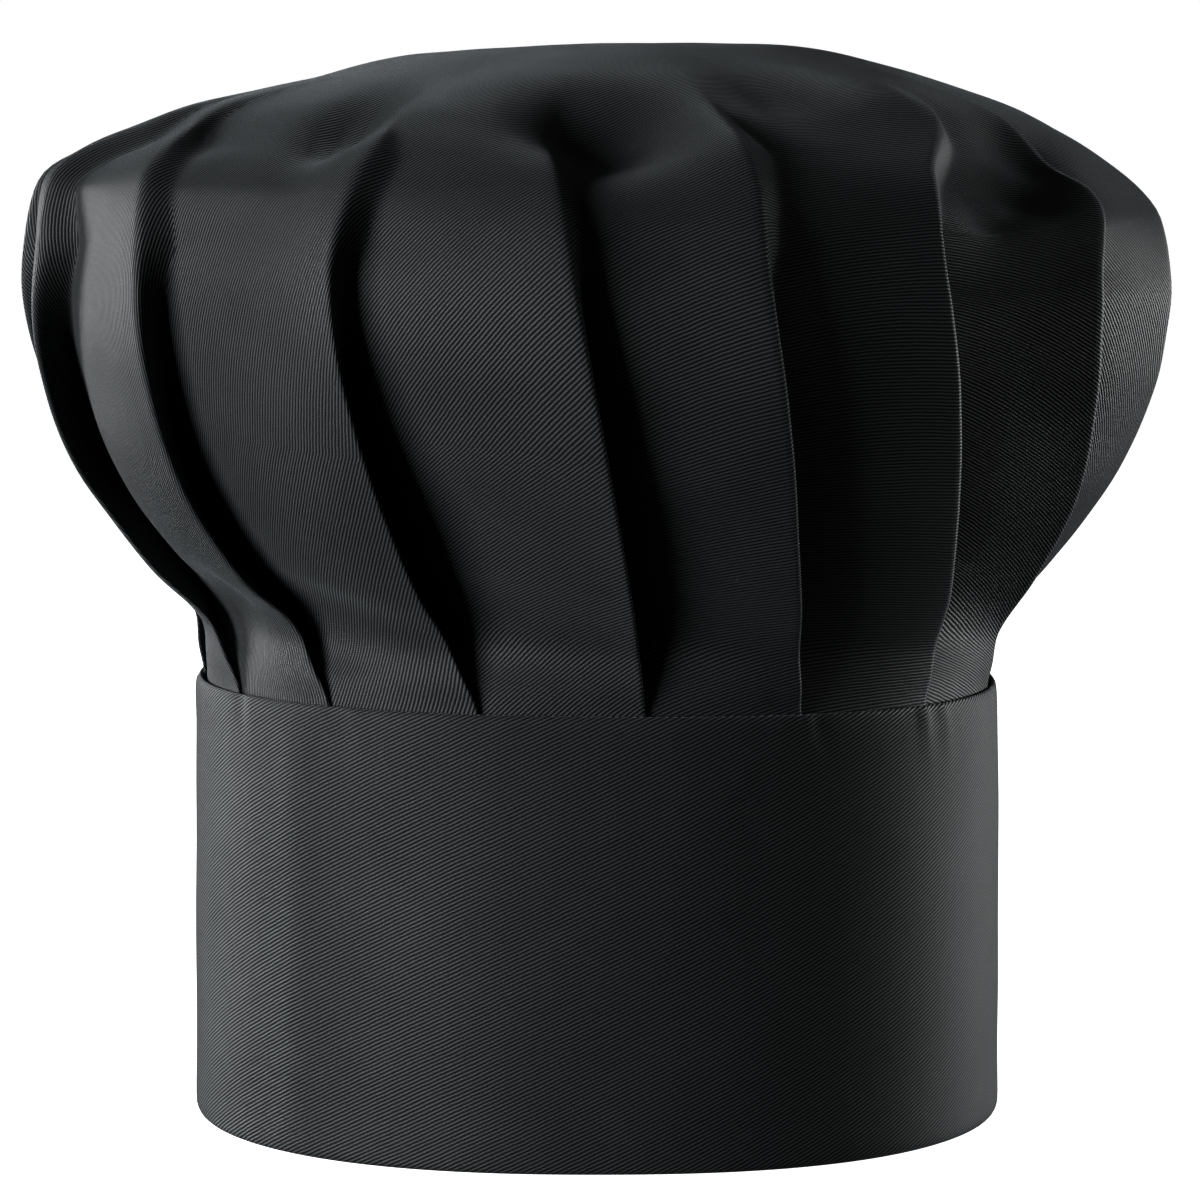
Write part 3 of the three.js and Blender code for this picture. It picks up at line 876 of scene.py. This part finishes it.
    # the gleam and the sheen sit on the ribs
    gleam = addNode(nodes, "ShaderNodeMapRange", "rib gleam",
                    {"To Min": twill["gleam"][0], "To Max": twill["gleam"][1]})
    sheen = addNode(nodes, "ShaderNodeMapRange", "rib sheen",
                    {"To Min": twill["sheen"][0], "To Max": twill["sheen"][1]})
    links.new(ribTone.outputs[0], gleam.inputs["Value"])
    links.new(ribTone.outputs[0], sheen.inputs["Value"])
    links.new(gleam.outputs["Result"], shader.inputs["Specular IOR Level"])
    links.new(sheen.outputs["Result"], shader.inputs["Sheen Weight"])
    shader.inputs["Roughness"].default_value = twill["roughness"]
    shader.inputs["Sheen Roughness"].default_value = 0.45
    shader.inputs["Sheen Tint"].default_value = (0.58, 0.625, 0.655, 1)
    links.new(withLint.outputs["Result"], shader.inputs["Base Color"])
    links.new(bump.outputs["Normal"], shader.inputs["Normal"])
    links.new(shader.outputs["BSDF"], output.inputs["Surface"])
    return material


def makePlain(name, colour, roughness):
    material = bpy.data.materials.new(name)
    material.use_nodes = True
    shader = material.node_tree.nodes["Principled BSDF"]
    shader.inputs["Base Color"].default_value = (*colour, 1)
    shader.inputs["Roughness"].default_value = roughness
    return material


crownTwill = makeTwill("twill_crown", twill["crownSlant"])
bandTwill = makeTwill("twill_band", twill["bandSlant"])
thread = makePlain("thread", (0.008, 0.009, 0.01), 0.6)
crownObject.data.materials.append(crownTwill)
bandObject.data.materials.append(bandTwill)
stitchObject = makeStitches(thread)
print("stitches made, faces:", len(stitchObject.data.polygons))


# Studio: a pale floor and ground, soft light from the left front, weaker ones from behind and the right

studio = {
    "floorColour": (0.86, 0.86, 0.86),
    "floorGlow": 0.985,  # the floor and the background are as bright as the photo's
    "backGlow": 1.0,
    "fill": 0.06,  # even light from all round
    "contrast": 1.38,
    "aim": 0.13,  # height that the lights point at, in metres
    "key": {"azimuth": -58, "elevation": 4, "distance": 1.7, "width": 0.9, "height": 0.7, "watts": 80},
    "edge": {"azimuth": -125, "elevation": 5, "distance": 1.7, "width": 0.5, "height": 0.6, "watts": 26},
    "side": {"azimuth": 94, "elevation": 3, "distance": 1.0, "width": 0.4, "height": 0.14, "watts": 5.8},
    "rim": {"azimuth": 117, "elevation": 0, "distance": 1.0, "width": 0.4, "height": 0.14, "watts": 8.2},
}


def makeLight(name, settings):
    light = bpy.data.lights.new(name, "AREA")
    light.shape = "RECTANGLE"
    light.size = settings["width"]
    light.size_y = settings["height"]
    light.energy = settings["watts"]
    lamp = bpy.data.objects.new(name, light)
    azimuth, elevation = math.radians(settings["azimuth"]), math.radians(settings["elevation"])
    away = Vector((math.sin(azimuth) * math.cos(elevation), -math.cos(azimuth) * math.cos(elevation),
                   math.sin(elevation)))
    lamp.location = Vector((0, 0, studio["aim"])) + away * settings["distance"]
    lamp.rotation_euler = away.to_track_quat("Z", "Y").to_euler()
    bpy.context.scene.collection.objects.link(lamp)
    return lamp


def glowing(name, colour, glow):
    material = bpy.data.materials.new(name)
    material.use_nodes = True
    nodes, links = material.node_tree.nodes, material.node_tree.links
    shader = nodes["Principled BSDF"]
    shader.inputs["Base Color"].default_value = (*colour, 1)
    shader.inputs["Roughness"].default_value = 0.9
    shader.inputs["Emission Color"].default_value = (1, 1, 1, 1)
    shader.inputs["Emission Strength"].default_value = glow
    return material


def makeStudio():
    bpy.ops.mesh.primitive_circle_add(vertices=96, radius=6, fill_type="NGON", location=(0, 0, 0))
    floor = bpy.context.object
    floor.name = "floor"
    floor.data.materials.append(glowing("floor", studio["floorColour"], studio["floorGlow"]))
    bpy.ops.mesh.primitive_uv_sphere_add(segments=64, ring_count=32, radius=6)
    ground = bpy.context.object
    ground.name = "background"
    ground.data.materials.append(glowing("background", (0, 0, 0), studio["backGlow"]))
    for piece in (floor, ground):
        piece.visible_diffuse = False
        piece.visible_glossy = False
    ground.visible_shadow = False
    world = bpy.data.worlds.new("studio")
    world.use_nodes = True
    world.node_tree.nodes["Background"].inputs["Color"].default_value = (1, 1, 1, 1)
    world.node_tree.nodes["Background"].inputs["Strength"].default_value = studio["fill"]
    bpy.context.scene.world = world
    return floor, ground


floorObject, groundObject = makeStudio()
lights = [makeLight(name, studio[name]) for name in ("key", "edge", "side", "rim")]
bpy.context.scene.view_settings.view_transform = "Standard"
bpy.context.scene.view_settings.gamma = 1 / studio["contrast"]
print("studio made")

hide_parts("crown")
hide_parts("band")
for piece in (crownObject, bandObject, stitchObject):
    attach(piece, "root")

print("pieces declared")
